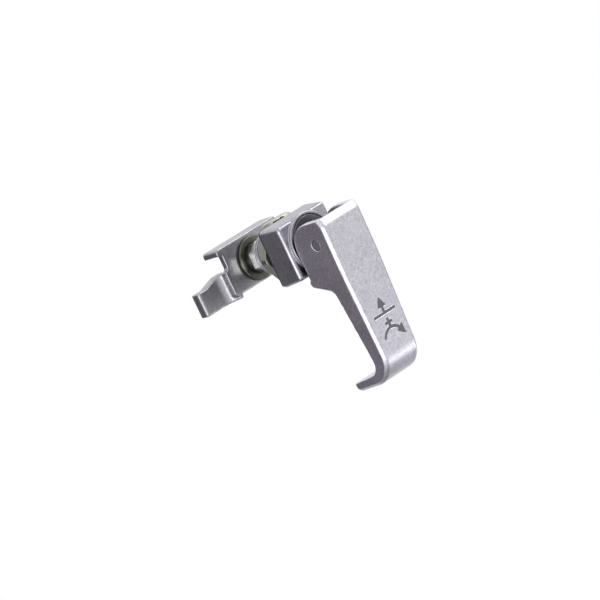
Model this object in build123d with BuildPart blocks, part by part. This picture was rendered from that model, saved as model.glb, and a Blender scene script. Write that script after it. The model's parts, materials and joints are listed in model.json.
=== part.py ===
"""Lift-and-turn compression latch for a panel or a cabinet door.

The hooked handle straddles the head of a threaded shaft on a cross pin. Cam cheeks on the handle bear on a
thrust washer in the housing. Lifting the handle lets the shaft and the pawl move inwards, and turning it
swings the pawl clear of the frame.

Row frame, millimetres: X across the handle, Y along the shaft and pointing into the cabinet, Z up.
The origin is on the shaft's axis, in the plane of the panel's outer face. Depths are Y values.
"""
import os
from math import cos, pi, radians, sin

from build123d import *

os.makedirs("parts", exist_ok=True)

# ---------------------------------------------------------------- driving sizes
# handle
handle_width = 25.0
handle_foot_width = 22.0
taper_start = -16.0
straight_foot = 13.8
side_blend = 150.0
handle_bevel = 1.4
top_bevel_depth = 1.3
top_bevel_height = 3.7
handle_above_axis = 10.2
handle_below_axis = 67.8
front_to_pin = 9.0
handle_lean = 2.2
front_wall = 3.2
cheek_gap = 17.0
channel_below_axis = 15.0
stem_depth_top = 10.4
stem_depth_foot = 7.2
lip_thickness = 5.0
lip_reach = 27.4
lip_drop = 1.4
lip_end_radius = 2.6
lip_tip_radius = 1.0
foot_radius = 12.3
lip_inner_radius = 5.5
stem_top = -25.0
stem_blend = 8.0
heel_front = 11.9
heel_bottom = -21.4
heel_blend = 3.0
heel_corner = -17.4
heel_setback = 0.6
heel_rise = -15.0
heel_step = -14.0
channel_blend = 3.0

# cam and motion
cam_closed = 13.1
lift_angle = 90.0
turn_angle = 90.0

# pivot pin and shaft head
pin_radius = 2.5
head_radius = 5.1
key_width = 12.0
key_height = 10.2

# housing
housing_front_width = 30.8
housing_front_height = 25.2
housing_rear_width = 32.2
housing_rear_height = 27.0
housing_depth = 11.5
housing_rear_corner = 2.0
housing_front_corner = 1.6
housing_chamfer = 0.9
rim_outer_radius = 13.3
rim_inner_radius = 11.8
rim_height = 1.3
rim_chamfer = 0.35
barrel_radius = 10.0
barrel_length = 17.0
barrel_pitch = 1.5
spring_pocket_radius = 8.2
spring_pocket_floor = 2.0

# washers under the handle
thrust_washer_thickness = 2.8
friction_washer_thickness = 1.0
washer_proud = 0.2
key_recess = 0.5

# panel side
gasket_thickness = 1.2
panel_gap = 1.0
lock_washer_radius = 13.0
lock_washer_thickness = 0.7
tooth_count = 18
tooth_width = 1.5
tooth_length = 1.8
gasket_inset = 0.5
panel_nut_flats = 28.0
panel_nut_thickness = 5.1

# shaft and pawl stack
shaft_radius = 4.0
shaft_flat_half_width = 3.4
shaft_end = 40.0
shaft_pitch = 1.25
pawl_front = 26.3
pawl_nut_flats = 13.0
pawl_nut_thickness = 6.0
front_nut_turned = 30.0
pawl_washer_radius = 9.9
pawl_washer_thickness = 1.5
split_washer_radius = 7.0
split_washer_thickness = 2.2
split_width = 0.8
split_lean = 30.0

# pawl
pawl_near = 19.0
pawl_far = 20.2
pawl_top = 11.8
pawl_bottom = 10.5
pawl_plate = 3.0
pawl_top_wall = 3.0
pawl_bottom_wall = 1.8
pawl_depth = 9.6
arm_reach = 34.4
arm_top = 1.3
arm_bottom = 12.2
arm_tip_top = 1.2
arm_joggle = 4.8
arm_tip_thickness = 5.6
pawl_corner = 1.2
arm_neck = 15.2
neck_lead = 1.6
neck_length = 5.0
arm_front_corner = 1.4
arm_rear_corner = 1.8
arm_joggle_radius = 7.0
arm_tip_length = 6.0
arm_top_blend = 3.0
arm_notch_blend = 2.2

# return spring and its seat
wire_radius = 0.7
spring_radius = 6.6
spring_turns = 5
seat_front = 12.0
seat_thickness = 1.0
seat_radius = 7.6
clip_thickness = 1.0
clip_radius = 6.2
clip_groove_radius = 3.4
clip_gap = 5.4
thread_relief = 0.5

# turn stop
stop_pin_radius = 0.9
stop_circle_radius = 9.7
stop_start_angle = 200.0
stop_groove_depth = 1.6
stop_pin_sunk = 2.5

# seal
seal_section_radius = 1.1
seal_wall = 2.55

# legend on the handle's face
legend_above_foot = 18.4
legend_row = 6.0
legend_stroke = 1.3
legend_width = 14.0
legend_depth = 0.4
legend_sunk = 0.12
bar_drop = 2.2
arrow_half = 2.6
arrow_height = 2.5
arrow_side = 5.5
plus_arm = 4.4
plus_drop = 0.6
turn_radius = 6.2
turn_sweep = 120.0

# small shared details
small_chamfer = 0.3
thread_depth_share = 0.6
thread_crest_share = 0.1
nut_corner_share = 0.97
nut_ease_share = 0.5
nut_lead_in = 0.5

# clearances
running = 0.05
cam_clearance = 0.1
washer_clearance = 0.2
stop_clearance = 0.15
cheek_clearance = 0.3
loose = 0.15
turn_clearance = 0.4
clear_past = 1.0

# ---------------------------------------------------------------- places worked out from them
housing_rear = -gasket_thickness
housing_front = housing_rear - housing_depth
rim_front = housing_front - rim_height
washer_face = rim_front - washer_proud
friction_front = washer_face + thrust_washer_thickness
recess_floor = friction_front + friction_washer_thickness
cam_plane = washer_face - cam_clearance
pin_depth = cam_plane - cam_closed
front_face = pin_depth - front_to_pin
taper_end = straight_foot - handle_below_axis
legend_centre = legend_above_foot - handle_below_axis
cam_open = handle_above_axis
cam_rate = (cam_closed - cam_open) / radians(lift_angle)
travel = cam_closed - cam_open
barrel_end = housing_rear + barrel_length
head_rear = washer_face + thrust_washer_thickness - key_recess
head_pocket_floor = head_rear + travel + washer_clearance
seal_groove_half = seal_section_radius + loose
seal_depth = head_pocket_floor + seal_wall + seal_groove_half
head_shoulder = washer_face - travel - cheek_clearance
head_width = cheek_gap - 2 * cheek_clearance
pawl_washer_front = pawl_front - pawl_washer_thickness
front_split_washer_front = pawl_washer_front - split_washer_thickness
pawl_nut_front = front_split_washer_front - pawl_nut_thickness
split_washer_front = pawl_front + pawl_plate
rear_nut_front = split_washer_front + split_washer_thickness
clip_front = seat_front + seat_thickness
lock_washer_front = panel_gap
panel_nut_front = lock_washer_front + lock_washer_thickness


def across(depth):
    """The plane across the shaft at a depth, with X to the right and Z up; it faces the front."""
    return Plane.XZ.offset(-depth)


def export(builder, name):
    """Label a finished piece and write it as parts/NAME.step."""
    builder.part.label = name
    export_step(builder.part, f"parts/{name}.step")


def cam_point(lift):
    """The involute cam's outline point, from the pin, that bears on the washer at a lift angle.

    The distance from the pin to the bearing plane falls evenly with the angle, so the shaft moves in
    proportion to the lift.
    """
    angle = radians(lift)
    reach = cam_closed - cam_rate * angle
    return (
        pin_depth + reach * cos(angle) + cam_rate * sin(angle),
        reach * sin(angle) - cam_rate * cos(angle),
    )


def thread_outline(start, end, radius, pitch):
    """Points (radius, depth) of a thread's crests and roots from start to end, tapered at both ends."""
    root = radius - thread_depth_share * pitch
    points = [(root, start)]
    turns = int((end - start) / pitch)
    step = (end - start) / turns
    crest_half = thread_crest_share * pitch
    for turn in range(turns):
        middle = start + turn * step + step / 2
        points += [(radius, middle - crest_half), (radius, middle + crest_half), (root, middle + step / 2)]
    return points


def nearest_vertex(sketch, along, up):
    """The sketch's corner nearest to a point."""
    return sketch.vertices().sort_by_distance(Vector(along, up, 0))[0]


def hex_nut(flats, bore_radius, front, thickness, turned_by=0.0):
    """A hexagon nut with its corners turned off at both faces.

    Its corners are to the sides, unless it is turned by an angle in degrees.
    """
    corner = flats / 2 / cos(pi / 6)
    turned = nut_corner_share * corner
    ease = corner - flats / 2
    drop = nut_ease_share * ease
    rear = front + thickness
    with BuildPart() as nut:
        with BuildSketch(across(front)):
            RegularPolygon(radius=corner, side_count=6, rotation=turned_by)
            Circle(bore_radius, mode=Mode.SUBTRACT)
        extrude(amount=-thickness)
        with BuildSketch(Plane.XY):
            with BuildLine():
                Polyline(
                    (0, front),
                    (turned - ease, front),
                    (turned, front + drop),
                    (turned, rear - drop),
                    (turned - ease, rear),
                    (0, rear),
                    close=True,
                )
            make_face()
        revolve(axis=Axis.Y, mode=Mode.INTERSECT)
        chamfer(nut.edges().filter_by(GeomType.CIRCLE).group_by(SortBy.RADIUS)[0], nut_lead_in)
    return nut


def split_washer(front):
    """A spring lock washer on the shaft, cut through at a slant."""
    wall_middle = (split_washer_radius + shaft_radius + loose) / 2
    with BuildPart() as washer:
        with BuildSketch(across(front)):
            Circle(split_washer_radius)
            Circle(shaft_radius + loose, mode=Mode.SUBTRACT)
            with Locations(Location((0, wall_middle), split_lean)):
                Rectangle(split_width, 2 * (split_washer_radius - shaft_radius), mode=Mode.SUBTRACT)
        extrude(amount=-split_washer_thickness)
    return washer


# ---------------------------------------------------------------- housing
guide_radius = shaft_radius + running
head_pocket_radius = (key_width**2 + key_height**2) ** 0.5 / 2 + washer_clearance
seal_groove_radius = guide_radius + 2 * seal_section_radius + loose
stop_hole_floor = recess_floor + stop_pin_sunk

with BuildPart() as housing:
    with BuildSketch(across(housing_rear)):
        RectangleRounded(housing_rear_width, housing_rear_height, housing_rear_corner)
    with BuildSketch(across(housing_front)):
        RectangleRounded(housing_front_width, housing_front_height, housing_front_corner)
    loft()
    chamfer(housing.faces().sort_by(Axis.Y)[0].edges(), housing_chamfer)
    with BuildSketch(across(housing_front)):
        Circle(rim_outer_radius)
    extrude(amount=rim_height)
    chamfer(housing.faces().sort_by(Axis.Y)[0].edges(), rim_chamfer)
    with BuildSketch(Plane.XY):
        with BuildLine():
            Polyline(
                (0, housing_rear),
                *thread_outline(housing_rear, barrel_end, barrel_radius, barrel_pitch),
                (0, barrel_end),
                close=True,
            )
        make_face()
    revolve(axis=Axis.Y)
    with BuildSketch(Plane.XY):
        with BuildLine():
            Polyline(
                (0, rim_front),
                (rim_inner_radius, rim_front),
                (rim_inner_radius, recess_floor),
                (head_pocket_radius, recess_floor),
                (head_pocket_radius, head_pocket_floor),
                (guide_radius, head_pocket_floor),
                (guide_radius, seal_depth - seal_groove_half),
                (seal_groove_radius, seal_depth - seal_groove_half),
                (seal_groove_radius, seal_depth + seal_groove_half),
                (guide_radius, seal_depth + seal_groove_half),
                (guide_radius, spring_pocket_floor),
                (spring_pocket_radius, spring_pocket_floor),
                (spring_pocket_radius, barrel_end),
                (0, barrel_end),
                close=True,
            )
        make_face()
    revolve(axis=Axis.Y, mode=Mode.SUBTRACT)
    with BuildSketch(across(recess_floor)):
        with PolarLocations(stop_circle_radius, 1, start_angle=stop_start_angle):
            Circle(stop_pin_radius)
    extrude(amount=recess_floor - stop_hole_floor, mode=Mode.SUBTRACT)
export(housing, "housing")

with BuildPart() as stop_pin:
    with BuildSketch(across(stop_hole_floor)):
        with PolarLocations(stop_circle_radius, 1, start_angle=stop_start_angle):
            Circle(stop_pin_radius)
    extrude(amount=stop_hole_floor - friction_front + stop_groove_depth - washer_clearance)
export(stop_pin, "stop_pin")

with BuildPart() as shaft_seal:
    with BuildSketch(Plane.XY):
        with Locations((guide_radius + seal_section_radius, seal_depth)):
            Circle(seal_section_radius)
    revolve(axis=Axis.Y)
export(shaft_seal, "shaft_seal")

# ---------------------------------------------------------------- washers under the handle
with BuildPart() as friction_washer:
    with BuildSketch(across(recess_floor)):
        Circle(rim_inner_radius - washer_clearance)
        Circle(head_pocket_radius, mode=Mode.SUBTRACT)
        with PolarLocations(stop_circle_radius, 1, start_angle=stop_start_angle):
            Circle(stop_pin_radius + stop_clearance, mode=Mode.SUBTRACT)
    extrude(amount=friction_washer_thickness)
export(friction_washer, "friction_washer")

stop_arc = CenterArc((0, 0), stop_circle_radius, stop_start_angle, turn_angle)
with BuildPart() as thrust_washer:
    with BuildSketch(across(friction_front)):
        Circle(rim_inner_radius - washer_clearance)
        Rectangle(key_width + 2 * running, key_height + 2 * running, mode=Mode.SUBTRACT)
    extrude(amount=thrust_washer_thickness)
    chamfer(thrust_washer.edges().filter_by(GeomType.CIRCLE).sort_by(Axis.Y)[0], small_chamfer)
    with BuildSketch(across(friction_front)):
        SlotArc(stop_arc, height=2 * (stop_pin_radius + stop_clearance))
    extrude(amount=stop_groove_depth, mode=Mode.SUBTRACT)
export(thrust_washer, "thrust_washer")

# ---------------------------------------------------------------- shaft with its head
clip_rear = clip_front + clip_thickness + running
thread_start = clip_rear + thread_relief

with BuildPart() as shaft:
    with BuildSketch(Plane.XY):
        with BuildLine():
            Polyline(
                (0, head_rear),
                (shaft_radius, head_rear),
                (shaft_radius, clip_front),
                (clip_groove_radius, clip_front),
                (clip_groove_radius, clip_rear),
                (shaft_radius, clip_rear),
                (shaft_radius, thread_start),
                *thread_outline(thread_start, shaft_end, shaft_radius, shaft_pitch),
                (0, shaft_end),
                close=True,
            )
        make_face()
    revolve(axis=Axis.Y)
    with BuildSketch(Plane.XZ):
        flat_offset = shaft_flat_half_width + shaft_radius
        with Locations((flat_offset, 0), (-flat_offset, 0)):
            Rectangle(2 * shaft_radius, 4 * shaft_radius)
    extrude(amount=-shaft_end, mode=Mode.SUBTRACT)
    with BuildSketch(across(head_rear)):
        Rectangle(key_width, key_height)
    extrude(amount=head_rear - pin_depth)
    with BuildSketch(across(head_shoulder)):
        Rectangle(head_width, 2 * head_radius)
    extrude(amount=head_shoulder - pin_depth)
    with BuildSketch(Plane.YZ):
        with Locations((pin_depth, 0)):
            Circle(head_radius)
    extrude(amount=head_width / 2, both=True)
    with BuildSketch(Plane.YZ):
        with Locations((pin_depth, 0)):
            Circle(pin_radius + running)
    extrude(amount=head_width, both=True, mode=Mode.SUBTRACT)
export(shaft, "shaft")

# ---------------------------------------------------------------- return spring, its seat and clip
with BuildPart() as return_spring:
    spring_start = spring_pocket_floor + wire_radius + running
    spring_length = seat_front - wire_radius - running - spring_start
    with BuildLine():
        coil = Helix(
            pitch=spring_length / spring_turns,
            height=spring_length,
            radius=spring_radius,
            center=(0, spring_start, 0),
            direction=(0, 1, 0),
        )
    with BuildSketch(Plane(origin=coil @ 0, z_dir=coil % 0)):
        Circle(wire_radius)
    sweep()
export(return_spring, "return_spring")

with BuildPart() as spring_washer:
    with BuildSketch(across(seat_front)):
        Circle(seat_radius)
        Circle(shaft_radius + running, mode=Mode.SUBTRACT)
    extrude(amount=-seat_thickness)
export(spring_washer, "spring_washer")

with BuildPart() as retaining_clip:
    with BuildSketch(across(clip_front)):
        Circle(clip_radius)
        Circle(clip_groove_radius + running, mode=Mode.SUBTRACT)
        with Locations((0, -clip_radius)):
            Rectangle(clip_gap, 2 * clip_radius, mode=Mode.SUBTRACT)
    extrude(amount=-clip_thickness)
export(retaining_clip, "retaining_clip")

# ---------------------------------------------------------------- panel side
gasket_width = housing_rear_width - 2 * gasket_inset
gasket_height = housing_rear_height - 2 * gasket_inset
with BuildPart() as panel_gasket:
    with BuildSketch(across(0)):
        RectangleRounded(gasket_width, gasket_height, housing_rear_corner - gasket_inset)
        Circle(barrel_radius + loose, mode=Mode.SUBTRACT)
    extrude(amount=gasket_thickness)
export(panel_gasket, "panel_gasket")

with BuildPart() as panel_lock_washer:
    with BuildSketch(across(lock_washer_front)):
        Circle(lock_washer_radius)
        with PolarLocations(lock_washer_radius, tooth_count):
            Rectangle(tooth_length, tooth_width)
        Circle(barrel_radius + loose, mode=Mode.SUBTRACT)
    extrude(amount=-lock_washer_thickness)
export(panel_lock_washer, "panel_lock_washer")

panel_nut = hex_nut(panel_nut_flats, barrel_radius + running, panel_nut_front, panel_nut_thickness)
export(panel_nut, "panel_nut")

# ---------------------------------------------------------------- pawl and what locks it
pawl_front_nut = hex_nut(
    pawl_nut_flats, shaft_radius + running, pawl_nut_front, pawl_nut_thickness, front_nut_turned
)
export(pawl_front_nut, "pawl_front_nut")

pawl_front_lock_washer = split_washer(front_split_washer_front)
export(pawl_front_lock_washer, "pawl_front_lock_washer")

with BuildPart() as pawl_washer:
    with BuildSketch(across(pawl_washer_front)):
        Circle(pawl_washer_radius)
        Circle(shaft_radius + running, mode=Mode.SUBTRACT)
    extrude(amount=-pawl_washer_thickness)
    chamfer(pawl_washer.edges().filter_by(GeomType.CIRCLE).group_by(SortBy.RADIUS)[-1], small_chamfer)
export(pawl_washer, "pawl_washer")

arm_front = pawl_front + arm_joggle
arm_rear = arm_front + arm_tip_thickness
riser_start = -arm_neck - neck_lead
riser_end = -arm_neck - neck_length
notch = -arm_neck - arm_front_corner
tip_drop = -arm_reach + arm_tip_length
pawl_rear = pawl_front + pawl_depth
channel_top = pawl_top - pawl_top_wall
channel_bottom = pawl_bottom - pawl_bottom_wall
with BuildPart() as pawl:
    with BuildSketch(across(pawl_front)):
        with Locations(((pawl_far - pawl_near) / 2, (pawl_top - pawl_bottom) / 2)):
            RectangleRounded(pawl_far + pawl_near, pawl_top + pawl_bottom, pawl_corner)
    extrude(amount=-pawl_depth)
    with BuildSketch(across(pawl_front + pawl_plate)):
        with Locations(((pawl_far - pawl_near) / 2, (channel_top - channel_bottom) / 2)):
            Rectangle(2 * (pawl_far + pawl_near), channel_top + channel_bottom)
    extrude(amount=-pawl_depth, mode=Mode.SUBTRACT)
    with BuildSketch(Plane.XY.offset(-arm_bottom)) as arm_plan:
        with BuildLine():
            Polyline(
                (-arm_neck, pawl_front),
                (riser_start, pawl_front),
                (riser_end, arm_front),
                (-arm_reach, arm_front),
                (-arm_reach, arm_rear),
                (riser_end, pawl_rear),
                (-arm_neck, pawl_rear),
                close=True,
            )
        make_face()
        fillet(nearest_vertex(arm_plan, riser_start, pawl_front), arm_front_corner)
        fillet(nearest_vertex(arm_plan, riser_end, arm_front), arm_joggle_radius)
        fillet(nearest_vertex(arm_plan, -arm_reach, arm_front), arm_front_corner)
        fillet(nearest_vertex(arm_plan, -arm_reach, arm_rear), arm_rear_corner)
    extrude(amount=arm_bottom + arm_top)
    with BuildSketch(across(pawl_front - clear_past)) as arm_trim:
        with BuildLine():
            Polyline(
                (-arm_reach - clear_past, channel_top),
                (-arm_reach - clear_past, -arm_tip_top),
                (tip_drop, -arm_tip_top),
                (riser_end, arm_top),
                (notch, arm_top),
                (notch, channel_top),
                close=True,
            )
        make_face()
        fillet(nearest_vertex(arm_trim, tip_drop, -arm_tip_top), arm_top_blend)
        fillet(nearest_vertex(arm_trim, riser_end, arm_top), arm_top_blend)
        fillet(nearest_vertex(arm_trim, notch, arm_top), arm_notch_blend)
    extrude(amount=-pawl_depth - 2 * clear_past, mode=Mode.SUBTRACT)
    with BuildSketch(across(pawl_front)):
        Circle(shaft_radius + loose)
        Rectangle(2 * (shaft_flat_half_width + running), 4 * shaft_radius, mode=Mode.INTERSECT)
    extrude(amount=-pawl_plate, mode=Mode.SUBTRACT)
export(pawl, "pawl")

pawl_lock_washer = split_washer(split_washer_front)
export(pawl_lock_washer, "pawl_lock_washer")

pawl_rear_nut = hex_nut(pawl_nut_flats, shaft_radius + running, rear_nut_front, pawl_nut_thickness)
export(pawl_rear_nut, "pawl_rear_nut")

# ---------------------------------------------------------------- handle outline
heel_depth = housing_front - turn_clearance
cheek_rear = pin_depth + cam_closed
lip_tip = front_face + lip_reach
foot_bottom = -handle_below_axis
foot_top = foot_bottom + lip_thickness
flat_top = handle_above_axis - top_bevel_height
lean_rate = handle_lean / (flat_top - foot_bottom)


def face_depth(up):
    """The depth of the handle's leaning outer face at a height."""
    return front_face + lean_rate * (flat_top - up)


channel_front = front_face + front_wall
stem_top_rear = face_depth(stem_top) + stem_depth_top
stem_foot_rear = face_depth(foot_top) + stem_depth_foot
rear_most = max(heel_depth, lip_tip)
heel_start = front_face + heel_front
cam_steps = 12
cam_outline = [cam_point(lift_angle * step / cam_steps) for step in range(cam_steps + 1)]


# ---------------------------------------------------------------- legend
turn_start = 90.0 - turn_sweep / 2
turn_arc = CenterArc((0, 0), turn_radius, turn_start, turn_sweep)

outer_face = Plane(origin=(0, front_face, flat_top), x_dir=(1, 0, 0), z_dir=(0, -1, -lean_rate))

with BuildSketch(outer_face) as legend_face:
    # lift: a bar with an arrow rising from it
    with Locations((0, legend_centre + legend_row - bar_drop)):
        Rectangle(legend_width, legend_stroke)
    with Locations((0, legend_centre + legend_row)):
        Rectangle(legend_stroke, 2 * bar_drop - legend_stroke)
        with Locations((0, bar_drop)):
            Triangle(a=2 * arrow_half, b=arrow_side, c=arrow_side)
    # and: a plus
    with Locations((0, legend_centre - plus_drop)):
        Rectangle(plus_arm, legend_stroke)
        Rectangle(legend_stroke, plus_arm)
    # turn: a curved arrow
    with Locations((0, legend_centre - legend_row - turn_radius / 2)):
        SlotArc(turn_arc, height=legend_stroke)
        with PolarLocations(turn_radius, 1, start_angle=turn_start):
            Triangle(a=2 * arrow_height, b=arrow_side, c=arrow_side, rotation=-180)

with BuildPart() as legend:
    extrude(legend_face.sketch, amount=-legend_depth)
    with BuildSketch(outer_face):
        with Locations((0, legend_centre)):
            Rectangle(handle_width, 6 * legend_row)
    extrude(amount=-legend_sunk, mode=Mode.SUBTRACT)
export(legend, "legend")

# ---------------------------------------------------------------- handle
edge_reach = 0.8


def on_front_outline(edge):
    """True for the long edges between the handle's outer face and its sides."""
    middle = edge.center()
    outer = middle.Y < face_depth(middle.Z) + edge_reach or middle.Z < foot_top - lip_drop / 2
    return outer and abs(middle.X) > handle_foot_width / 2 - running


with BuildPart() as handle:
    with BuildSketch(Plane.YZ) as side:
        with BuildLine():
            cam = Spline(*cam_outline, tangents=[(0, 1), (-1, 0)])
            Polyline(
                cam @ 1,
                (front_face + top_bevel_depth, handle_above_axis),
                (front_face, flat_top),
                (face_depth(foot_bottom + lip_drop), foot_bottom + lip_drop),
                (lip_tip, foot_bottom),
                (lip_tip, foot_top - lip_drop / 2),
                (stem_foot_rear, foot_top + lip_drop),
                (stem_top_rear, stem_top),
                (heel_start, heel_bottom),
                (heel_depth - heel_setback, heel_corner),
                (heel_depth, heel_rise),
                (cheek_rear, heel_step),
                cam @ 0,
            )
        make_face()
        fillet(nearest_vertex(side, face_depth(foot_bottom + lip_drop), foot_bottom + lip_drop), foot_radius)
        fillet(nearest_vertex(side, stem_foot_rear, foot_top + lip_drop), lip_inner_radius)
        fillet(nearest_vertex(side, lip_tip, foot_bottom), lip_end_radius)
        fillet(nearest_vertex(side, stem_top_rear, stem_top), stem_blend)
        fillet(nearest_vertex(side, heel_start, heel_bottom), heel_blend)
        fillet(nearest_vertex(side, heel_depth - heel_setback, heel_corner), 2 * heel_setback)
        fillet(nearest_vertex(side, heel_depth, heel_rise), heel_setback)
    extrude(amount=handle_width / 2, both=True)
    with BuildSketch(across(rear_most + clear_past)) as front:
        with BuildLine():
            Polyline(
                (0, handle_above_axis),
                (handle_width / 2, handle_above_axis),
                (handle_width / 2, taper_start),
                (handle_foot_width / 2, taper_end),
                (handle_foot_width / 2, foot_bottom),
                (0, foot_bottom),
                close=True,
            )
        make_face()
        fillet(nearest_vertex(front, handle_width / 2, taper_start), side_blend)
        fillet(nearest_vertex(front, handle_foot_width / 2, taper_end), side_blend)
        mirror(about=Plane.YZ)
    extrude(amount=rear_most + 2 * clear_past - front_face, mode=Mode.INTERSECT)
    chamfer(handle.edges().filter_by(on_front_outline), handle_bevel)
    lip_end = (0, lip_tip, foot_top - lip_drop / 2)
    fillet(handle.edges().filter_by(Axis.X).sort_by_distance(lip_end)[0], lip_tip_radius)
    with BuildSketch(Plane.YZ) as channel:
        with BuildLine():
            Polyline(
                (channel_front, 2 * handle_above_axis),
                (channel_front, -channel_below_axis),
                (heel_depth + clear_past, -channel_below_axis),
                (heel_depth + clear_past, 2 * handle_above_axis),
                close=True,
            )
        make_face()
        fillet(nearest_vertex(channel, channel_front, -channel_below_axis), channel_blend)
    extrude(amount=cheek_gap / 2, both=True, mode=Mode.SUBTRACT)
    with BuildSketch(Plane.YZ):
        with Locations((pin_depth, 0)):
            Circle(pin_radius)
    extrude(amount=handle_width, both=True, mode=Mode.SUBTRACT)
    extrude(legend_face.sketch, amount=-legend_depth, mode=Mode.SUBTRACT)
export(handle, "handle")

with BuildPart() as pivot_pin:
    with BuildSketch(Plane.YZ):
        with Locations((pin_depth, 0)):
            Circle(pin_radius)
    extrude(amount=handle_width / 2 - 2 * washer_clearance, both=True)
    chamfer(pivot_pin.edges().filter_by(GeomType.CIRCLE), small_chamfer)
export(pivot_pin, "pivot_pin")
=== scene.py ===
"""A lift-and-turn compression latch with its finishes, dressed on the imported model.

Run as a script, it loads the model, gives every part its finish, makes the detailed castings,
thread and spring that stand for the plain ones, and sets up the stage.
"""
import json
import math

import bmesh
import bpy
import numpy as np
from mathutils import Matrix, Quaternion, Vector


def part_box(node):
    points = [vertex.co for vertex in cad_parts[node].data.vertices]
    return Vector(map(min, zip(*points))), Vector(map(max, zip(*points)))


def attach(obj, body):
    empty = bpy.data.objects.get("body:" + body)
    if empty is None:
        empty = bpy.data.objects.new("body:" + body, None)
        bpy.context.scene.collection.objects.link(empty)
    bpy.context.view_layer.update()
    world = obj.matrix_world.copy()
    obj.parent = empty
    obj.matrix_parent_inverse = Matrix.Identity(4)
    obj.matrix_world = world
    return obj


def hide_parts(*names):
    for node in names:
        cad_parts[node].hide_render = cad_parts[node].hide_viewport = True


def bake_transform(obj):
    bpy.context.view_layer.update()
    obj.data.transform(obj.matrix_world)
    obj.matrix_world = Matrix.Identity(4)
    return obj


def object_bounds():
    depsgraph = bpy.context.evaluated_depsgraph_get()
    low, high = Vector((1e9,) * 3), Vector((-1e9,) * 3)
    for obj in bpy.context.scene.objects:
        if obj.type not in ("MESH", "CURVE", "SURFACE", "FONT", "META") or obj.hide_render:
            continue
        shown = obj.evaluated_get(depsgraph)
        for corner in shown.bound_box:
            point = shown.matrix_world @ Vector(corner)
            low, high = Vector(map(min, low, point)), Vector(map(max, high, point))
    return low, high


bl_info = {
    "name": "Compression latch",
    "version": (1, 0, 0),
    "blender": (4, 5, 0),
    "location": "3D View > Sidebar > Latch",
    "description": "Castings, thread, spring and finishes for a lift-and-turn compression latch",
    "category": "Object",
}

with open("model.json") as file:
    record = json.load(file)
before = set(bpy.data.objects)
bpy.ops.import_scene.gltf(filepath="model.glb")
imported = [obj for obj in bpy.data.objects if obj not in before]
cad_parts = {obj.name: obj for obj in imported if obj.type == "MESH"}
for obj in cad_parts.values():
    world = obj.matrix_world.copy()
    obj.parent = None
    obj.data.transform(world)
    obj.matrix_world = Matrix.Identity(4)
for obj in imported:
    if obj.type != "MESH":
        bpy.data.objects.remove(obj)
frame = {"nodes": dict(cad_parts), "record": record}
cad_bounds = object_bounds()
MM = 0.001

# Roughness of each finish.
ROUGHNESS = {
    "handle_cast": 0.37,
    "housing_cast": 0.36,
    "pawl_steel": 0.37,
    "pin_steel": 0.34,
    "shaft_steel": 0.28,
    "washer_steel": 0.38,
    "zinc_plate": 0.24,
    "panel_zinc": 0.27,
    "panel_washer_zinc": 0.33,
    "washer_zinc": 0.3,
    "lock_washer_steel": 0.3,
    "spring_steel": 0.3,
    "legend_paint": 0.5,
    "black_rubber": 0.72,
    "acetal": 0.45,
}

# The second colour of each plated finish, which shows in clouds.
TINTS = {
    "zinc_plate": (0.72, 0.72, 0.69),
    "panel_zinc": (0.31, 0.312, 0.28),
    "panel_washer_zinc": (0.32, 0.33, 0.28),
    "washer_zinc": (0.17, 0.177, 0.14),
    "lock_washer_steel": (0.15, 0.15, 0.15),
    "spring_steel": (0.5, 0.5, 0.52),
}

# How dark the painted shade gets in the corners of a plated part, and of one with only faint
# painted shade.
PLATED_SHADE_DEPTH = 0.85
FAINT_SHADE_DEPTH = 0.2

# Scale of a turned part's noise along X, Y and Z. It draws the noise out into rings.
TURNED_ON_X = (1.0, 0.05, 0.05)
TURNED_ON_SHAFT = (0.15, 1.0, 0.15)
TURNED_ON_FACE = (1.0, 0.05, 1.0)

# Polished line on the small parts, which have finer edges than the castings.
FINE_EDGE = 0.1 * MM

# How far each softening pass pulls a vertex towards its neighbours, in the open and in crisp
# detail, and the room round the crisp detail.
SOFT_PULL = 0.5
CRISP_PULL = 0.08
CRISP_MARGIN = 0.4 * MM

# Vertices closer than this are one.
SAME_PLACE = 0.001 * MM

# The barrel's thread: its depth and the shares of a half turn that the crest and the flank take,
# how steeply it runs out at the inner end, and the angle that stays a sharp edge.
THREAD_DEPTH = 0.6
THREAD_CREST = 0.12
THREAD_FLANKS = 0.76
THREAD_RUNOUT = 1.2
SHARP_ANGLE = math.radians(50)

# The housing's core under the thread: its gap to the roots, the start of it behind the seat, and
# how far the thread's tube reaches into it.
CORE_GAP = 0.15 * MM
CORE_START = 0.1 * MM
SLEEVE_OVERLAP = 0.3 * MM

# Turns of the return spring, and the pitch of its closed end turns in wire radii.
SPRING_TURNS = 7
CLOSED_TURN = 2.05

# How fine the thread and the spring are: vertices round a ring, and rings in a turn.
THREAD_AROUND, THREAD_RINGS = 96, 12
WIRE_AROUND, WIRE_RINGS = 14, 48

# Directions in the room: its dim side, and the middle of a dim screen to the right.
DIM_SIDE = Vector((-0.72, 0.66, -0.2)).normalized()
DIM_SCREEN = Vector((0.98, -0.02, -0.16)).normalized()

# Name, place and width of each lamp. Its power is the stage's NAME_power.
LAMPS = (
    ("key", (0.88, -0.55, 0.74), 0.8),
    ("left", (-1.1, -0.95, -0.2), 0.5),
    ("low", (0.39, -0.31, -0.33), 0.14),
)


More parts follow.
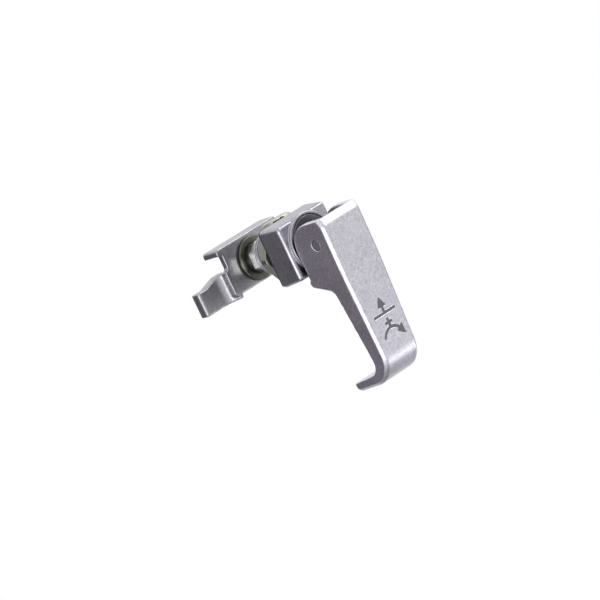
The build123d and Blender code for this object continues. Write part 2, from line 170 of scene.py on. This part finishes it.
# ---------------------------------------------------------------- what a user would change
class LatchSizes(bpy.types.PropertyGroup):
    """Sizes of the detail that is added to the model."""

    cast_voxel: bpy.props.FloatProperty(
        name="Casting mesh",
        description="Size of the mesh faces on the castings",
        default=0.25 * MM,
        min=0.1 * MM,
        unit="LENGTH",
    )
    handle_rounding: bpy.props.IntProperty(
        name="Handle edges",
        description="How many passes soften the edges of the handle",
        default=14,
        min=1,
        max=60,
    )
    pawl_rounding: bpy.props.IntProperty(
        name="Pawl edges",
        description="How many passes soften the edges of the pawl",
        default=12,
        min=1,
        max=60,
    )
    small_rounding: bpy.props.IntProperty(
        name="Housing edges",
        description="How many passes soften the edges of the housing",
        default=4,
        min=1,
        max=60,
    )
    thread_pitch: bpy.props.FloatProperty(
        name="Barrel thread pitch",
        description="Distance from crest to crest of the barrel's thread",
        default=1.5 * MM,
        min=0.3 * MM,
        unit="LENGTH",
    )
    worn_edge: bpy.props.FloatProperty(
        name="Worn edge",
        description="Width of the polished line along an edge",
        default=0.35 * MM,
        min=0.05 * MM,
        unit="LENGTH",
    )
    wire: bpy.props.FloatProperty(
        name="Spring wire",
        description="Radius of the return spring's wire",
        default=0.7 * MM,
        min=0.2 * MM,
        unit="LENGTH",
    )


def colour_choice(name, description, default):
    """A colour that the user can change."""
    return bpy.props.FloatVectorProperty(
        name=name,
        description=description,
        default=default,
        size=3,
        min=0.0,
        max=1.0,
        subtype="COLOR",
    )


class LatchColours(bpy.types.PropertyGroup):
    """Colours of the finishes."""

    casting: colour_choice(
        "Casting",
        "Satin die-cast metal of the handle",
        (0.63, 0.615, 0.685),
    )
    # Painted shade: the housing is the same die-cast metal as the handle, and this darker copy of
    # the handle's colour paints shade onto it.
    housing: colour_choice(
        "Housing",
        "Satin die-cast metal of the housing, a little darker than the handle's",
        (0.4, 0.39, 0.435),
    )
    pawl: colour_choice(
        "Pawl",
        "Plated steel of the pawl",
        (0.385, 0.385, 0.415),
    )
    panel_plating: colour_choice(
        "Panel nut plating",
        "Dull zinc plating of the panel nut",
        (0.26, 0.262, 0.235),
    )
    panel_washer: colour_choice(
        "Panel washer plating",
        "Zinc plating of the panel's lock washer",
        (0.3, 0.305, 0.26),
    )
    # Partly plating and partly painted shade: the washer's greenish plating is made dark to stand
    # for the shade on the ring between the nut and the pawl.
    washer_plating_and_shade: colour_choice(
        "Pawl washer plating",
        "Dark, greenish plating of the pawl's washer",
        (0.12, 0.125, 0.105),
    )
    plating: colour_choice(
        "Zinc plating",
        "Zinc plating of the pawl's nuts",
        (0.7, 0.7, 0.68),
    )
    steel: colour_choice(
        "Steel",
        "Turned steel of the shaft and the spring",
        (0.58, 0.59, 0.6),
    )
    dark_steel: colour_choice(
        "Dark steel",
        "Hardened steel of the lock washers and the thrust washer",
        (0.13, 0.13, 0.14),
    )
    rubber: colour_choice(
        "Rubber",
        "Gasket and shaft seal",
        (0.022, 0.022, 0.024),
    )
    acetal: colour_choice(
        "Acetal",
        "Friction washer",
        (0.82, 0.81, 0.77),
    )
    paint: colour_choice(
        "Legend paint",
        "Dark paint in the engraved legend",
        (0.085, 0.08, 0.095),
    )


class LatchStage(bpy.types.PropertyGroup):
    """The floor, the light and the camera."""

    floor_drop: bpy.props.FloatProperty(
        name="Floor drop",
        description="How far the floor lies under the latch",
        default=0.3,
        min=0.0,
        unit="LENGTH",
    )
    floor_width: bpy.props.FloatProperty(
        name="Floor width",
        description="Width of the square floor",
        default=1.8,
        min=0.2,
        unit="LENGTH",
    )
    camera_azimuth: bpy.props.FloatProperty(
        name="Camera azimuth",
        description="Direction of the camera round the latch",
        default=math.radians(-40.6),
        subtype="ANGLE",
        unit="ROTATION",
    )
    camera_elevation: bpy.props.FloatProperty(
        name="Camera elevation",
        description="Height of the camera above the horizon",
        default=math.radians(8.28),
        subtype="ANGLE",
        unit="ROTATION",
    )
    camera_roll: bpy.props.FloatProperty(
        name="Camera roll",
        description="Tilt of the camera about its line of sight",
        default=math.radians(25.45),
        subtype="ANGLE",
        unit="ROTATION",
    )
    camera_distance: bpy.props.FloatProperty(
        name="Camera distance",
        description="Distance of the camera from the point that it looks at",
        default=2.0,
        min=0.3,
        unit="LENGTH",
    )
    camera_aim: bpy.props.FloatVectorProperty(
        name="Camera aim",
        description="The point that the camera looks at",
        default=(-13.92 * MM, -4.67 * MM, -20.46 * MM),
        size=3,
        subtype="TRANSLATION",
        unit="LENGTH",
    )
    view_width: bpy.props.FloatProperty(
        name="View width",
        description="Width of the view at the point that the camera looks at",
        default=0.2575,
        min=0.05,
        unit="LENGTH",
    )
    key_power: bpy.props.FloatProperty(
        name="Key light",
        description="Power of the large light overhead, in watts",
        default=6.0,
        min=0.0,
    )
    left_power: bpy.props.FloatProperty(
        name="Left light",
        description="Power of the light to the left of the camera, in watts",
        default=4.0,
        min=0.0,
    )
    low_power: bpy.props.FloatProperty(
        name="Low light",
        description="Power of the small light under the handle's foot, in watts",
        default=0.2,
        min=0.0,
    )
    room_light: bpy.props.FloatProperty(
        name="Room light",
        description="Brightness of the pale room that the metal reflects",
        default=0.85,
        min=0.0,
    )
    room_side: bpy.props.FloatProperty(
        name="Room side",
        description="Brightness of the bright walls beside and behind the latch",
        default=1.15,
        min=0.0,
    )
    room_shade: bpy.props.FloatProperty(
        name="Room shade",
        description="Brightness of the dim side of the room",
        default=0.18,
        min=0.0,
    )


# ---------------------------------------------------------------- shader building
class Wire:
    """An output in a material's nodes. Arithmetic on it adds Math nodes."""

    def __init__(self, finish, socket):
        self.finish = finish
        self.socket = socket

    def maths(self, operation, first, second):
        """The result of a Math node."""
        return self.finish.node(
            "ShaderNodeMath", {"operation": operation}, {0: first, 1: second}
        )

    def __add__(self, other):
        return self.maths("ADD", self, other)

    def __radd__(self, other):
        return self.maths("ADD", other, self)

    def __sub__(self, other):
        return self.maths("SUBTRACT", self, other)

    def __rsub__(self, other):
        return self.maths("SUBTRACT", other, self)

    def __mul__(self, other):
        return self.maths("MULTIPLY", self, other)

    def __rmul__(self, other):
        return self.maths("MULTIPLY", other, self)


class Finish:
    """A node tree in the making, for a material or for the world."""

    def __init__(self, tree):
        self.tree = tree
        self.tree.nodes.clear()

    def node(self, kind, settings=None, sockets=None, output=0):
        """Add a node: its settings, then its sockets' values or links. Returns an output."""
        made = self.tree.nodes.new(kind)
        for key, value in (settings or {}).items():
            if key == "stops":
                ramp = made.color_ramp
                for index, (place, shade) in enumerate(value):
                    stop = ramp.elements[index] if index < 2 else ramp.elements.new(place)
                    stop.position = place
                    stop.color = (shade, shade, shade, 1.0)
            else:
                setattr(made, key, value)
        for key, value in (sockets or {}).items():
            if isinstance(value, Wire):
                self.tree.links.new(value.socket, made.inputs[key])
            else:
                made.inputs[key].default_value = value
        return Wire(self, made.outputs[output]) if made.outputs else None

    def ramp(self, value, *stops):
        """A value carried through a ramp of (place, shade) stops."""
        return self.node("ShaderNodeValToRGB", {"stops": stops}, {"Fac": value})

    def blend(self, factor, first, second):
        """Two colours mixed by a factor."""
        return self.node(
            "ShaderNodeMix",
            {"data_type": "RGBA"},
            {"Factor": factor, 6: first, 7: second},
            output=2,
        )

    def dot(self, first, second):
        """The dot product of two vectors."""
        return self.node(
            "ShaderNodeVectorMath",
            {"operation": "DOT_PRODUCT"},
            {0: first, 1: second},
            output="Value",
        )

    def noise(self, place, size, detail=3.0, roughness=0.55):
        """Noise whose blobs are about a size across, in metres."""
        return self.node(
            "ShaderNodeTexNoise",
            {},
            {"Vector": place, "Scale": 1 / size, "Detail": detail, "Roughness": roughness},
        )

    def place(self):
        """Places on the piece, which stay with it as it moves."""
        return self.node("ShaderNodeTexCoord", output="Object")

    def stretched(self, place, scale):
        """Places scaled along each axis."""
        return self.node(
            "ShaderNodeVectorMath", {"operation": "MULTIPLY"}, {0: place, 1: scale}
        )

    def painted_shade(self, reach):
        """A mask for painted shade: 1 deep in corners and gaps, and 0 in the open."""
        open_air = self.node(
            "ShaderNodeAmbientOcclusion", {"samples": 8}, {"Distance": reach}, output="AO"
        )
        return self.ramp(open_air, (0.3, 1.0), (0.8, 0.0))

    def edges(self, radius):
        """The normal rounded over edges, and a mask that is 1 on the edges."""
        rounded = self.node("ShaderNodeBevel", {"samples": 6}, {"Radius": radius})
        flat = self.node("ShaderNodeNewGeometry", output="Normal")
        mask = self.ramp(1 - self.dot(rounded, flat), (0.004, 0.0), (0.12, 1.0))
        return rounded, mask


def tinted(colour, factor):
    """A colour made lighter or darker, with its alpha."""
    return (*[min(1.0, part * factor) for part in colour], 1.0)


def new_finish(name):
    """A new material and its empty node tree."""
    material = bpy.data.materials.new(name)
    material.use_nodes = True
    return material, Finish(material.node_tree)


def close_finish(finish, sockets):
    """Add the shader and the output."""
    shader = finish.node("ShaderNodeBsdfPrincipled", {}, sockets)
    finish.node("ShaderNodeOutputMaterial", {}, {"Surface": shader})


def cast_metal(name, colour, worn_edge):
    """Satin die-cast metal: mottled grain, blotches, edges polished by handling, and painted shade
    in corners and gaps.
    """
    material, finish = new_finish(name)
    place = finish.place()
    grain = finish.noise(place, 0.38 * MM, detail=5.0, roughness=0.65)
    mottle = finish.noise(place, 0.95 * MM, detail=2.0, roughness=0.7)
    blotch = finish.noise(place, 9 * MM, detail=3.0)
    skin = finish.noise(place, 1.6 * MM, detail=2.0)
    pits = finish.node(
        "ShaderNodeTexVoronoi",
        {"feature": "F1"},
        {"Vector": place, "Scale": 1 / (1.3 * MM), "Randomness": 1.0},
        output="Distance",
    )
    pit_mask = finish.ramp(pits, (0.1, 1.0), (0.2, 0.0))
    rounded, edge = finish.edges(worn_edge)
    shade = finish.ramp(0.6 * mottle + 0.2 * skin + 0.2 * blotch, (0.38, 0.0), (0.62, 1.0))
    body = finish.blend(shade, tinted(colour, 0.8), tinted(colour, 1.14))
    pitted = finish.blend(pit_mask * 0.35, body, tinted(colour, 0.5))
    # Painted shade: the colour darkens in corners and gaps.
    corner_shaded = finish.blend(finish.painted_shade(3 * MM) * 0.85, pitted, tinted(colour, 0.22))
    worn = finish.blend(edge * (0.2 + 0.4 * skin), corner_shaded, tinted(colour, 1.3))
    height = grain * 0.7 + skin * 0.5 - pit_mask * 0.6
    normal = finish.node(
        "ShaderNodeBump",
        {},
        {"Strength": 0.32, "Distance": 0.05 * MM, "Height": height, "Normal": rounded},
    )
    close_finish(
        finish,
        {
            "Base Color": worn,
            "Metallic": 1.0,
            "Roughness": ROUGHNESS[name]
            + 0.16 * (grain - 0.5)
            + 0.1 * (blotch - 0.5)
            - 0.1 * edge,
            "Normal": normal,
        },
    )
    return material


def plated_metal(name, colour, worn_edge, shade_depth=PLATED_SHADE_DEPTH):
    """Plated steel: smooth, with soft clouds of tint from the plating and small scuffs."""
    material, finish = new_finish(name)
    place = finish.place()
    cloud = finish.noise(place, 4 * MM, detail=4.0)
    fine = finish.noise(place, 0.25 * MM, detail=3.0)
    scuff = finish.noise(finish.stretched(place, (1.0, 0.12, 1.0)), 0.3 * MM, detail=3.0)
    rounded, edge = finish.edges(worn_edge)
    clouded = finish.ramp(cloud, (0.35, 0.0), (0.65, 1.0))
    body = finish.blend(clouded, tinted(colour, 0.92), tinted(TINTS[name], 1.0))
    scuffed = finish.ramp(scuff, (0.62, 0.0), (0.75, 1.0))
    marked = finish.blend(scuffed * 0.3, body, tinted(colour, 0.6))
    # Painted shade: the colour darkens in corners and gaps.
    corner_shaded = finish.blend(finish.painted_shade(3 * MM) * shade_depth, marked, tinted(colour, 0.2))
    worn = finish.blend(edge * 0.4, corner_shaded, tinted(colour, 1.3))
    normal = finish.node(
        "ShaderNodeBump",
        {},
        {
            "Strength": 0.2,
            "Distance": 0.03 * MM,
            "Height": fine * 0.6 + scuff * 0.5 + cloud * 0.6,
            "Normal": rounded,
        },
    )
    close_finish(
        finish,
        {
            "Base Color": worn,
            "Metallic": 1.0,
            "Roughness": ROUGHNESS[name] + 0.12 * (cloud - 0.5) + 0.1 * (scuff - 0.5),
            "Normal": normal,
        },
    )
    return material


def turned_metal(name, colour, worn_edge, scale):
    """Turned steel: fine rings, spaced along the axes that the scale keeps large."""
    material, finish = new_finish(name)
    place = finish.place()
    rings = finish.noise(finish.stretched(place, scale), 0.14 * MM, detail=4.0)
    cloud = finish.noise(place, 3 * MM, detail=3.0)
    rounded, edge = finish.edges(worn_edge)
    body = finish.blend(rings, tinted(colour, 0.82), tinted(colour, 1.12))
    oil = finish.ramp(cloud, (0.5, 0.0), (0.75, 0.5))
    oiled = finish.blend(oil, body, tinted(colour, 0.6))
    # Painted shade: the colour darkens in corners and gaps.
    corner_shaded = finish.blend(finish.painted_shade(2 * MM) * 0.7, oiled, tinted(colour, 0.25))
    worn = finish.blend(edge * 0.5, corner_shaded, tinted(colour, 1.35))
    normal = finish.node(
        "ShaderNodeBump",
        {},
        {"Strength": 0.25, "Distance": 0.03 * MM, "Height": rings, "Normal": rounded},
    )
    close_finish(
        finish,
        {
            "Base Color": worn,
            "Metallic": 1.0,
            "Roughness": ROUGHNESS[name] + 0.15 * (rings - 0.5) + 0.12 * (cloud - 0.5),
            "Normal": normal,
        },
    )
    return material


def soft_material(name, colour, grain_size, bump):
    """Moulded rubber, plastic or paint: matt, finely textured, a little dusty."""
    material, finish = new_finish(name)
    place = finish.place()
    grain = finish.noise(place, grain_size, detail=4.0, roughness=0.6)
    dust = finish.noise(place, 2.5 * MM, detail=5.0, roughness=0.7)
    body = finish.blend(grain, tinted(colour, 0.8), tinted(colour, 1.2))
    dusty = finish.blend(
        finish.ramp(dust, (0.5, 0.0), (0.8, 0.25)), body, tinted(colour, 1.9)
    )
    normal = finish.node(
        "ShaderNodeBump",
        {},
        {"Strength": bump, "Distance": 0.04 * MM, "Height": grain},
    )
    close_finish(
        finish,
        {
            "Base Color": dusty,
            "Metallic": 0.0,
            "Roughness": ROUGHNESS[name] + 0.2 * (dust - 0.5),
            "Normal": normal,
        },
    )
    return material


# ---------------------------------------------------------------- piece building
def dress(node, material):
    """Give a part of the model its finish."""
    mesh = frame["nodes"][node].data
    mesh.materials.clear()
    mesh.materials.append(material)


def frame_mount(name):
    """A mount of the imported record."""
    return next(mount for mount in frame["record"]["mounts"] if mount["name"] == name)


def add_piece(name, mesh, material, body, slot, *nodes):
    """A new piece that rides on a body, has the given finish and stands for parts of the model;
    the slot is not used.
    """
    piece = bpy.data.objects.new(name, mesh)
    bpy.context.scene.collection.objects.link(piece)
    mesh.materials.clear()
    mesh.materials.append(material)
    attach(piece, body)
    if nodes:
        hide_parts(*nodes)
    return piece


def even_mesh(node, voxel):
    """A part's mesh made again in even faces."""
    mesh = frame["nodes"][node].data.copy()
    work = bmesh.new()
    work.from_mesh(mesh)
    bmesh.ops.remove_doubles(work, verts=work.verts, dist=SAME_PLACE)
    work.to_mesh(mesh)
    work.free()
    holder = bpy.data.objects.new("holder", mesh)
    bpy.context.scene.collection.objects.link(holder)
    remesh = holder.modifiers.new("even", "REMESH")
    remesh.mode = "VOXEL"
    remesh.voxel_size = voxel
    remesh.use_smooth_shade = True
    graph = bpy.context.evaluated_depsgraph_get()
    made = bpy.data.meshes.new_from_object(holder.evaluated_get(graph))
    bpy.data.objects.remove(holder)
    return made


def corners_of(mesh):
    """The mesh's vertices as rows of x, y, z."""
    spots = np.empty(len(mesh.vertices) * 3)
    mesh.vertices.foreach_get("co", spots)
    return spots.reshape(-1, 3)


def place_corners(mesh, spots):
    """Move the mesh's vertices to rows of x, y, z."""
    mesh.vertices.foreach_set("co", spots.ravel())
    mesh.update()


def soften(mesh, rounds, crisp=()):
    """Round the mesh's edges as a casting's are, and hardly at all in the crisp boxes."""
    spots = corners_of(mesh)
    count = len(spots)
    ends = np.empty(len(mesh.edges) * 2, int)
    mesh.edges.foreach_get("vertices", ends)
    first, second = ends.reshape(-1, 2).T
    neighbours = np.bincount(ends, minlength=count)[:, None]
    pull = np.full((count, 1), SOFT_PULL)
    for low, high in crisp:
        inside = ((spots > np.array(low)) & (spots < np.array(high))).all(axis=1)
        pull[inside] = CRISP_PULL
    for _ in range(rounds):
        total = np.stack(
            [
                np.bincount(first, spots[second, axis], count)
                + np.bincount(second, spots[first, axis], count)
                for axis in range(3)
            ],
            axis=1,
        )
        spots += pull * (total / neighbours - spots)
    place_corners(mesh, spots)
    return mesh


def ring_of(work, spots):
    """A ring of new vertices at the spots."""
    return [work.verts.new(spot) for spot in spots]


def join_rings(work, rings):
    """Faces between each ring of vertices and the next."""
    for before, after in zip(rings, rings[1:]):
        for corner in range(len(before)):
            beside = (corner + 1) % len(before)
            work.faces.new((before[corner], before[beside], after[beside], after[corner]))


def smooth_mesh(work, name):
    """The finished mesh, smooth and facing outwards."""
    bmesh.ops.recalc_face_normals(work, faces=work.faces)
    for face in work.faces:
        face.smooth = True
    mesh = bpy.data.meshes.new(name)
    work.to_mesh(mesh)
    work.free()
    return mesh


def thread_sleeve(name, start, end, crest, bore, pitch):
    """A tube along Y with a real, helical thread outside, which fades out at both ends."""
    depth = THREAD_DEPTH * pitch
    rows = round((end - start) / pitch * THREAD_RINGS)
    work = bmesh.new()

    def ring(along, radius_at):
        """A ring of the tube, whose radius depends on the share of a turn."""
        spots = []
        for corner in range(THREAD_AROUND):
            turn = corner / THREAD_AROUND
            radius, angle = radius_at(turn), 2 * math.pi * turn
            spots.append((radius * math.cos(angle), along, radius * math.sin(angle)))
        return ring_of(work, spots)

    rings = [ring(start, lambda turn: bore)]
    for row in range(rows + 1):
        along = start + (end - start) * row / rows
        run_in, run_out = (along - start) / pitch, THREAD_RUNOUT * (end - along) / pitch
        fade = max(0.0, min(1.0, run_in, run_out))

        def radius_at(turn, along=along, fade=fade):
            """The helix's radius here: crest, flank or root."""
            flank = abs((along / pitch - turn) % 1.0 - 0.5) * 2
            height = 1 - max(0.0, min(1.0, (flank - THREAD_CREST) / THREAD_FLANKS))
            return crest - depth + depth * fade * height

        rings.append(ring(along, radius_at))
    rings.append(ring(end, lambda turn: bore))
    join_rings(work, rings + rings[:1])
    mesh = smooth_mesh(work, name)
    mesh.set_sharp_from_angle(angle=SHARP_ANGLE)
    return mesh


def wound_spring(name, low, high, wire):
    """A round wire wound about Y to fill a box, with a closed turn at each end."""
    radius = (high.x - low.x) / 2 - wire
    start = low.y + wire
    length = high.y - wire - start
    closed_pitch = CLOSED_TURN * wire
    open_length = length - 2 * closed_pitch
    work = bmesh.new()
    rings = []
    for index in range(SPRING_TURNS * WIRE_RINGS + 1):
        turn = index / WIRE_RINGS
        if turn < 1:
            along = start + closed_pitch * turn
        elif turn > SPRING_TURNS - 1:
            along = start + length - closed_pitch * (SPRING_TURNS - turn)
        else:
            along = start + closed_pitch + open_length * (turn - 1) / (SPRING_TURNS - 2)
        angle = 2 * math.pi * turn
        out = Vector((math.cos(angle), 0, math.sin(angle)))
        centre = out * radius + Vector((0, along, 0))
        spots = []
        for corner in range(WIRE_AROUND):
            around = 2 * math.pi * corner / WIRE_AROUND
            offset = out * math.cos(around) + Vector((0, 1, 0)) * math.sin(around)
            spots.append(centre + offset * wire)
        rings.append(ring_of(work, spots))
    work.faces.new(rings[0])
    join_rings(work, rings)
    work.faces.new(reversed(rings[-1]))
    return smooth_mesh(work, name)


class LATCH_OT_handle(bpy.types.Operator):
    """Make the cast handle with softened edges, and finish its pin and legend."""

    bl_idname = "latch.handle"
    bl_label = "Handle"

    def execute(self, context):
        sizes = context.scene.latch_sizes
        colours = context.scene.latch_colours
        margin = Vector((1, 1, 1)) * CRISP_MARGIN
        boxes = map(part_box, ("legend", "pivot_pin"))
        crisp = [(low - margin, high + margin) for low, high in boxes]
        mesh = soften(even_mesh("handle", sizes.cast_voxel), sizes.handle_rounding, crisp)
        add_piece(
            "handle_casting",
            mesh,
            cast_metal("handle_cast", colours.casting, sizes.worn_edge),
            "handle",
            "handle_cast",
            "handle",
        )
        pin_colour = tinted(colours.casting, 0.8)[:3]
        dress("pivot_pin", turned_metal("pin_steel", pin_colour, FINE_EDGE, TURNED_ON_X))
        dress("legend", soft_material("legend_paint", colours.paint, 0.3 * MM, 0.3))
        return {"FINISHED"}


class LATCH_OT_housing(bpy.types.Operator):
    """Make the cast housing and its thread, and finish its gasket, seal and washers."""

    bl_idname = "latch.housing"
    bl_label = "Housing"

    def execute(self, context):
        sizes = context.scene.latch_sizes
        colours = context.scene.latch_colours
        casting = cast_metal("housing_cast", colours.housing, sizes.worn_edge)
        crest = frame_mount("panel_hole")["dims"]["r_mm"] * MM
        core = crest - THREAD_DEPTH * sizes.thread_pitch - CORE_GAP
        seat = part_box("panel_gasket")[0].y
        mesh = even_mesh("housing", sizes.cast_voxel)
        spots = corners_of(mesh)
        across = np.hypot(spots[:, 0], spots[:, 2])
        barrel = (spots[:, 1] > seat + CORE_START) & (across > core)
        spots[barrel, 0] *= core / across[barrel]
        spots[barrel, 2] *= core / across[barrel]
        place_corners(mesh, spots)
        soften(mesh, sizes.small_rounding)
        add_piece("housing_casting", mesh, casting, "housing", "housing_cast", "housing")
        sleeve = thread_sleeve(
            "housing_thread",
            seat - SLEEVE_OVERLAP,
            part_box("housing")[1].y,
            crest,
            core - SLEEVE_OVERLAP,
            sizes.thread_pitch,
        )
        add_piece("housing_thread", sleeve, casting, "housing", "housing_cast")
        rubber = soft_material("black_rubber", colours.rubber, 0.2 * MM, 0.4)
        dress("panel_gasket", rubber)
        dress("shaft_seal", rubber)
        dress("friction_washer", soft_material("acetal", colours.acetal, 0.3 * MM, 0.15))
        dark = turned_metal("washer_steel", colours.dark_steel, sizes.worn_edge, TURNED_ON_FACE)
        # The thrust washer's dark steel is partly its own colour and partly painted shade for the
        # recess under the handle's cheeks.
        dress("thrust_washer", dark)
        dress("stop_pin", dark)
        return {"FINISHED"}


class LATCH_OT_panel_side(bpy.types.Operator):
    """Finish the nut and the lock washer that clamp the housing to a panel."""

    bl_idname = "latch.panel_side"
    bl_label = "Panel nut and washer"

    def execute(self, context):
        sizes = context.scene.latch_sizes
        colours = context.scene.latch_colours
        edge = sizes.worn_edge
        dress("panel_nut", plated_metal("panel_zinc", colours.panel_plating, edge))
        dress("panel_lock_washer", plated_metal("panel_washer_zinc", colours.panel_washer, edge))
        return {"FINISHED"}


class LATCH_OT_pawl(bpy.types.Operator):
    """Make the pawl with softened edges."""

    bl_idname = "latch.pawl"
    bl_label = "Pawl"

    def execute(self, context):
        sizes = context.scene.latch_sizes
        colours = context.scene.latch_colours
        add_piece(
            "pawl_casting",
            soften(even_mesh("pawl", sizes.cast_voxel), sizes.pawl_rounding),
            cast_metal("pawl_steel", colours.pawl, sizes.worn_edge),
            "shaft",
            "pawl_steel",
            "pawl",
        )
        return {"FINISHED"}


class LATCH_OT_shaft(bpy.types.Operator):
    """Finish the shaft and the nuts and washers on it."""

    bl_idname = "latch.shaft"
    bl_label = "Shaft, nuts and washers"

    def execute(self, context):
        sizes = context.scene.latch_sizes
        colours = context.scene.latch_colours
        edge = sizes.worn_edge
        dress("shaft", turned_metal("shaft_steel", colours.steel, edge, TURNED_ON_SHAFT))
        # The pawl's nuts get only faint painted shade in their corners.
        zinc = plated_metal("zinc_plate", colours.plating, edge, FAINT_SHADE_DEPTH)
        for node in ("pawl_front_nut", "pawl_rear_nut"):
            dress(node, zinc)
        dress("pawl_washer", plated_metal("washer_zinc", colours.washer_plating_and_shade, edge))
        dark = plated_metal("lock_washer_steel", colours.dark_steel, edge)
        for node in (
            "pawl_front_lock_washer",
            "pawl_lock_washer",
            "spring_washer",
            "retaining_clip",
        ):
            dress(node, dark)
        return {"FINISHED"}


class LATCH_OT_spring(bpy.types.Operator):
    """Wind the return spring, which on the latch lengthens as the shaft moves inwards; the wound
    wire keeps the length it has at rest.
    """

    bl_idname = "latch.spring"
    bl_label = "Return spring"

    def execute(self, context):
        sizes = context.scene.latch_sizes
        colours = context.scene.latch_colours
        low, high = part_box("return_spring")
        mesh = wound_spring("return_spring_wire", low, high, sizes.wire)
        mesh.materials.append(plated_metal("spring_steel", colours.steel, FINE_EDGE))
        piece = bpy.data.objects.new("return_spring_wire", mesh)
        context.scene.collection.objects.link(piece)
        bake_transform(piece)
        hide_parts("return_spring")
        return {"FINISHED"}


class LATCH_OT_stage(bpy.types.Operator):
    """Lay the floor, light the room and set the camera."""

    bl_idname = "latch.stage"
    bl_label = "Stage"

    def execute(self, context):
        stage = context.scene.latch_stage
        scene = context.scene
        scene.view_settings.view_transform = "Standard"
        self.floor(scene, stage)
        self.room(scene, stage)
        self.lights(scene, stage)
        self.camera(scene, stage)
        return {"FINISHED"}

    def floor(self, scene, stage):
        """A pale floor, which the metal doesn't reflect."""
        half = stage.floor_width / 2
        level = cad_bounds[0].z - stage.floor_drop
        mesh = bpy.data.meshes.new("floor")
        corners = [(-half, -half), (half, -half), (half, half), (-half, half)]
        mesh.from_pydata([(x, y, level) for x, y in corners], [], [(0, 1, 2, 3)])
        floor = bpy.data.objects.new("floor", mesh)
        floor.visible_glossy = False
        scene.collection.objects.link(floor)
        material, finish = new_finish("floor_paper")
        close_finish(
            finish,
            {
                "Base Color": (0.9, 0.9, 0.9, 1.0),
                "Roughness": 0.9,
                "Emission Color": (1.0, 1.0, 1.0, 1.0),
                "Emission Strength": 0.4,
            },
        )
        mesh.materials.append(material)

    def room(self, scene, stage):
        """A pale room, dim on one side, and plain white where it is seen directly."""
        world = bpy.data.worlds.new("room")
        scene.world = world
        world.use_nodes = True
        finish = Finish(world.node_tree)
        direction = finish.node("ShaderNodeTexCoord", output="Generated")
        facing = 0.5 + 0.5 * finish.dot(direction, DIM_SIDE)
        height = 0.5 + 0.5 * finish.dot(direction, (0.0, 0.0, 1.0))
        front = stage.room_light / stage.room_side
        shade = stage.room_shade / stage.room_side
        walls = finish.ramp(facing, (0.1, front), (0.5, 1.0))
        dim = finish.ramp(facing, (0.8, 0.0), (0.94, 1.0))
        right = 0.5 + 0.5 * finish.dot(direction, DIM_SCREEN)
        screen = finish.ramp(right, (0.955, 0.0), (0.985, 0.75))
        screened = finish.blend(screen, walls, (shade, shade, shade, 1.0))
        shaded = finish.blend(dim, screened, (shade, 0.9 * shade, 1.02 * shade, 1.0))
        under = finish.ramp(height, (0.06, 1.0), (0.25, 0.0))
        lit = finish.blend(under, shaded, (0.3, 0.3, 0.31, 1.0))
        light = finish.node(
            "ShaderNodeBackground", {}, {"Color": lit, "Strength": stage.room_side}
        )
        backdrop = finish.node("ShaderNodeBackground", {}, {"Color": (1.0, 1.0, 1.0, 1.0)})
        seen = finish.node("ShaderNodeLightPath", output="Is Camera Ray")
        surface = finish.node("ShaderNodeMixShader", {}, {"Fac": seen, 1: light, 2: backdrop})
        finish.node("ShaderNodeOutputWorld", {}, {"Surface": surface})

    def lights(self, scene, stage):
        """Soft lamps that face the latch."""
        for name, spot, size in LAMPS:
            lamp = bpy.data.lights.new(name, "AREA")
            lamp.shape = "SQUARE"
            lamp.size = size
            lamp.energy = getattr(stage, f"{name}_power")
            holder = bpy.data.objects.new(name, lamp)
            holder.location = spot
            holder.rotation_mode = "QUATERNION"
            holder.rotation_quaternion = Vector(spot).to_track_quat("Z", "Y")
            holder.visible_camera = False
            scene.collection.objects.link(holder)

    def camera(self, scene, stage):
        """The camera, aimed and rolled."""
        azimuth = stage.camera_azimuth
        elevation = stage.camera_elevation
        back = Vector(
            (
                math.sin(azimuth) * math.cos(elevation),
                -math.cos(azimuth) * math.cos(elevation),
                math.sin(elevation),
            )
        )
        lens = bpy.data.cameras.new("camera")
        lens.lens = lens.sensor_width * stage.camera_distance / stage.view_width
        lens.clip_start = 0.05
        lens.clip_end = 60.0
        camera = bpy.data.objects.new("camera", lens)
        camera.location = Vector(stage.camera_aim) + back * stage.camera_distance
        camera.rotation_mode = "QUATERNION"
        roll = Quaternion((0, 0, 1), -stage.camera_roll)
        camera.rotation_quaternion = back.to_track_quat("Z", "Y") @ roll
        scene.collection.objects.link(camera)
        scene.camera = camera


class LATCH_PT_pieces(bpy.types.Panel):
    """Shows the latch's sizes, colours, stage settings and steps in the sidebar."""

    bl_idname = "LATCH_PT_pieces"
    bl_label = "Compression latch"
    bl_space_type = "VIEW_3D"
    bl_region_type = "UI"
    bl_category = "Latch"

    def draw(self, context):
        for group in ("latch_sizes", "latch_colours", "latch_stage"):
            holder = getattr(context.scene, group)
            column = self.layout.column(align=True)
            for name in holder.__annotations__:
                column.prop(holder, name)
        for operator in OPERATORS:
            self.layout.operator(operator.bl_idname)


OPERATORS = (
    LATCH_OT_handle,
    LATCH_OT_housing,
    LATCH_OT_panel_side,
    LATCH_OT_pawl,
    LATCH_OT_shaft,
    LATCH_OT_spring,
    LATCH_OT_stage,
)
GROUPS = {
    "latch_sizes": LatchSizes,
    "latch_colours": LatchColours,
    "latch_stage": LatchStage,
}


def register():
    for made in (*GROUPS.values(), *OPERATORS, LATCH_PT_pieces):
        bpy.utils.register_class(made)
    for name, group in GROUPS.items():
        setattr(bpy.types.Scene, name, bpy.props.PointerProperty(type=group))


def unregister():
    for name in GROUPS:
        delattr(bpy.types.Scene, name)
    for made in reversed((*GROUPS.values(), *OPERATORS, LATCH_PT_pieces)):
        bpy.utils.unregister_class(made)


def main():
    register()
    for operator in OPERATORS:
        area, action = operator.bl_idname.split(".")
        getattr(getattr(bpy.ops, area), action)()


if __name__ == "__main__":
    main()
